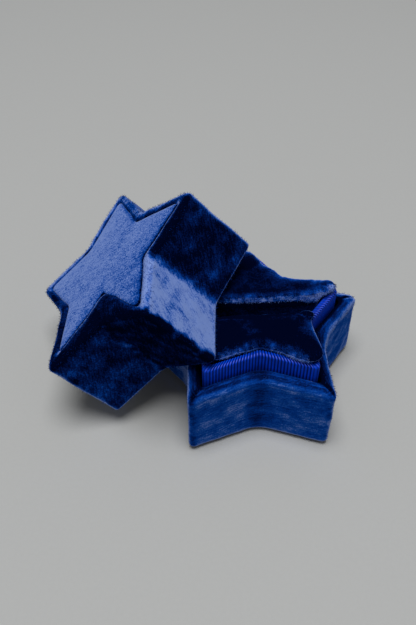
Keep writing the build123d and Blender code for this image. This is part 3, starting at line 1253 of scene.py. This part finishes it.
class RINGBOX_OT_pile_fringe(bpy.types.Operator):
    """Stand loose pile along the soft edges of the velvet"""

    bl_idname = "ring_box.pile_fringe"
    bl_label = "Pile fringe"

    def execute(self, context):
        box = context.scene.ring_box
        sizes = box.fringe
        material = loose_pile(box.colours)

        def rim(face, value):
            return clamped(2 * value("crest")) + 0.5 * on_tip(value("walls"))

        def lip(face, value):
            mouth = clamped(1 - abs(value("rise") - sizes.mouth_at) / sizes.mouth_band)
            return clamped(2 * value("crest")) + mouth + 0.5 * on_tip(value("walls"))

        def back_pad(face, value):
            return max(0.0, edge_band(box, face.center, 1))

        def front_pad(face, value):
            return max(0.0, edge_band(box, face.center, -1))

        for source, body, slot, weigh, count, lightest in (
            ("base_velvet_wrap", "base", "velvet", rim, sizes.rim, 0.42),
            ("lid_velvet_wrap", "lid", "velvet", lip, sizes.lip, 0.46),
            ("back_pad_cushion", "base", "pad_velvet", back_pad, sizes.pad, 0.56),
            ("front_pad_cushion", "base", "pad_velvet", front_pad, sizes.pad, 0.56),
        ):
            blades = stand_pile(sizes, bpy.data.objects[source].data, weigh, count, lightest)
            piece(blades, f"{source}_pile", material, body, slot, smooth=False)
        return {"FINISHED"}


def on_tip(walls):
    """One at a tip's edge, and nothing a little way along the walls."""
    return clamped(1 - walls_off_tip(walls) / 0.04)


def stand_pile(sizes, mesh, weigh, count, lightest):
    """Blades of loose pile on a mesh, where its faces weigh most."""
    chance = Random(PILE_SEED)
    painted = [layer for layer in mesh.attributes if layer.data_type == "FLOAT" and layer.domain == "POINT"]
    layers = {layer.name: layer.data for layer in painted}
    faces = []
    weights = []
    for face in mesh.polygons:
        weight = face.area * weigh(face, lambda name: layers[name][face.vertices[0]].value)
        if weight > 0:
            faces.append(face)
            weights.append(weight)
    picks = chance.choices(faces, weights, k=count)
    whole = bmesh.new()
    for start in range(0, count, BLADES_AT_ONCE):
        bm = bmesh.new()
        tone = bm.verts.layers.float.new("tone")
        for face in picks[start:start + BLADES_AT_ONCE]:
            blade = stand_blade(bm, sizes, mesh, face, chance)
            # A blade takes the tone of the face that it stands on, painted highlight and painted shade
            # included.
            light = min(lightest, 0.3 + 0.5 * (layers["tone"][face.vertices[0]].value - 0.4))
            light += chance.uniform(-0.1, 0.06)
            for vert in blade:
                vert[tone] = light
        part = bpy.data.meshes.new("pile_part")
        bm.to_mesh(part)
        bm.free()
        whole.from_mesh(part)
        bpy.data.meshes.remove(part)
    return whole


def stand_blade(bm, sizes, mesh, face, chance):
    """One blade of pile on a face, leaning by chance."""
    corners = [mesh.vertices[index] for index in face.vertices]
    shares = [chance.random() for corner in corners]
    foot = sum((corner.co * part for corner, part in zip(corners, shares)), Vector()) / sum(shares)
    lean = Vector((chance.uniform(-1, 1), chance.uniform(-1, 1), chance.uniform(-1, 1)))
    way = (face.normal + sizes.lean * lean).normalized()
    tall = sizes.tall * chance.uniform(0.4, 1.0)
    turn = Vector((0, 0, 1)).rotation_difference(way).to_matrix().to_4x4()
    place = Matrix.Translation(foot + way * (0.35 * tall)) @ turn
    return bmesh.ops.create_cone(
        bm, cap_ends=True, segments=3, radius1=sizes.thick, radius2=0.2 * sizes.thick, depth=tall,
        matrix=place,
    )["verts"]


class RINGBOX_OT_boards(bpy.types.Operator):
    """Give the boards, the bottom cover and the linings their finishes"""

    bl_idname = "ring_box.boards"
    bl_label = "Boards and linings"

    def execute(self, context):
        colours = context.scene.ring_box.colours
        board = board_material("grey_board", colours.board)
        cover = board_material("bottom_paper", colours.lining, fibre=0.5)
        lining = board_material("lining_cloth", colours.lining, fibre=0.6, rough=0.95)
        finishes = {
            "base_bottom_cover": cover, "base_wall_board": board, "base_floor_board": board,
            "collar_board": board, "insert_card": board, "lid_wall_board": board, "lid_top_board": board,
            "lid_wall_lining": lining, "lid_ceiling_lining": lining,
        }
        for name, material in finishes.items():
            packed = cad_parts[name]
            if not packed.material_slots:
                packed.data.materials.append(material)
            for place in packed.material_slots:
                place.material = material
        return {"FINISHED"}


class RINGBOX_OT_stage(bpy.types.Operator):
    """Set up the floor, the light and the camera"""

    bl_idname = "ring_box.stage"
    bl_label = "Stage"

    def execute(self, context):
        scene = context.scene
        box = scene.ring_box
        bm = bmesh.new()
        bmesh.ops.create_grid(bm, x_segments=2, y_segments=2, size=box.stage.floor_reach)
        paper = board_material("floor_paper", box.colours.floor, fibre=0.012, rough=0.9)
        floor = mesh_object(bm, "studio_floor", paper)
        scene.world = soft_sky(box)
        softbox(box.stage)
        scene.camera = photo_camera(box.stage)
        scene.view_settings.view_transform = "Standard"
        return {"FINISHED"}


def soft_sky(box):
    """Even light from all round."""
    world = bpy.data.worlds.new("soft_sky")
    world.use_nodes = True
    light = {"Color": (*box.colours.sky, 1), "Strength": box.stage.sky}
    set_values(world.node_tree.nodes["Background"], light)
    return world


def looking(made, place, way):
    """Puts a lamp or a camera at a place, looking along a way."""
    made.location = place
    made.rotation_euler = way.to_track_quat("-Z", "Y").to_euler()


def softbox(stage):
    """Large round lamp above the box, whose strength follows its distance."""
    place = Vector(stage.lamp_place)
    lamp = bpy.data.lights.new("softbox", "AREA")
    lamp.shape = "DISK"
    lamp.size = stage.lamp_size
    lamp.energy = stage.key * pi * pi * place.length_squared
    looking(linked("softbox", lamp), place, -place)


def photo_camera(stage):
    """Camera at the photograph's viewing angle."""
    level = cos(stage.elevation)
    back = Vector((sin(stage.azimuth) * level, -cos(stage.azimuth) * level, sin(stage.elevation)))
    camera = bpy.data.cameras.new("photo_camera")
    camera.lens = stage.lens
    camera.sensor_width = stage.sensor
    camera.clip_start = stage.near
    camera.clip_end = stage.far
    viewer = linked("photo_camera", camera)
    looking(viewer, Vector(stage.aim) + back * stage.distance, -back)
    return viewer


class RINGBOX_PT_panel(bpy.types.Panel):
    """Ring box steps in the sidebar"""

    bl_idname = "RINGBOX_PT_panel"
    bl_label = "Star ring box"
    bl_space_type = "VIEW_3D"
    bl_region_type = "UI"
    bl_category = "Ring Box"

    def draw(self, context):
        for step in STEPS:
            self.layout.operator(step.bl_idname)


STEPS = (
    RINGBOX_OT_base_velvet, RINGBOX_OT_lid_velvet, RINGBOX_OT_lid_panel, RINGBOX_OT_collar_ribbon,
    RINGBOX_OT_ring_pads, RINGBOX_OT_pile_fringe, RINGBOX_OT_boards, RINGBOX_OT_stage,
)
CLASSES = (
    StarOutline, BaseVelvet, LidVelvet, CollarRibbon, RingPads, PileFringe, BoxColours, StageView, RingBox,
    *STEPS, RINGBOX_PT_panel,
)


def register():
    """Registers the settings, the steps and the panel."""
    for item in CLASSES:
        bpy.utils.register_class(item)
    bpy.types.Scene.ring_box = PointerProperty(type=RingBox)


def unregister():
    """Takes the settings, the steps and the panel out again."""
    del bpy.types.Scene.ring_box
    for item in reversed(CLASSES):
        bpy.utils.unregister_class(item)


def main():
    """Builds the ring box and its stage."""
    register()
    bpy.ops.ring_box.base_velvet()
    bpy.ops.ring_box.lid_velvet()
    bpy.ops.ring_box.lid_panel()
    bpy.ops.ring_box.collar_ribbon()
    bpy.ops.ring_box.ring_pads()
    bpy.ops.ring_box.pile_fringe()
    bpy.ops.ring_box.boards()
    bpy.ops.ring_box.stage()


if __name__ == "__main__":
    main()
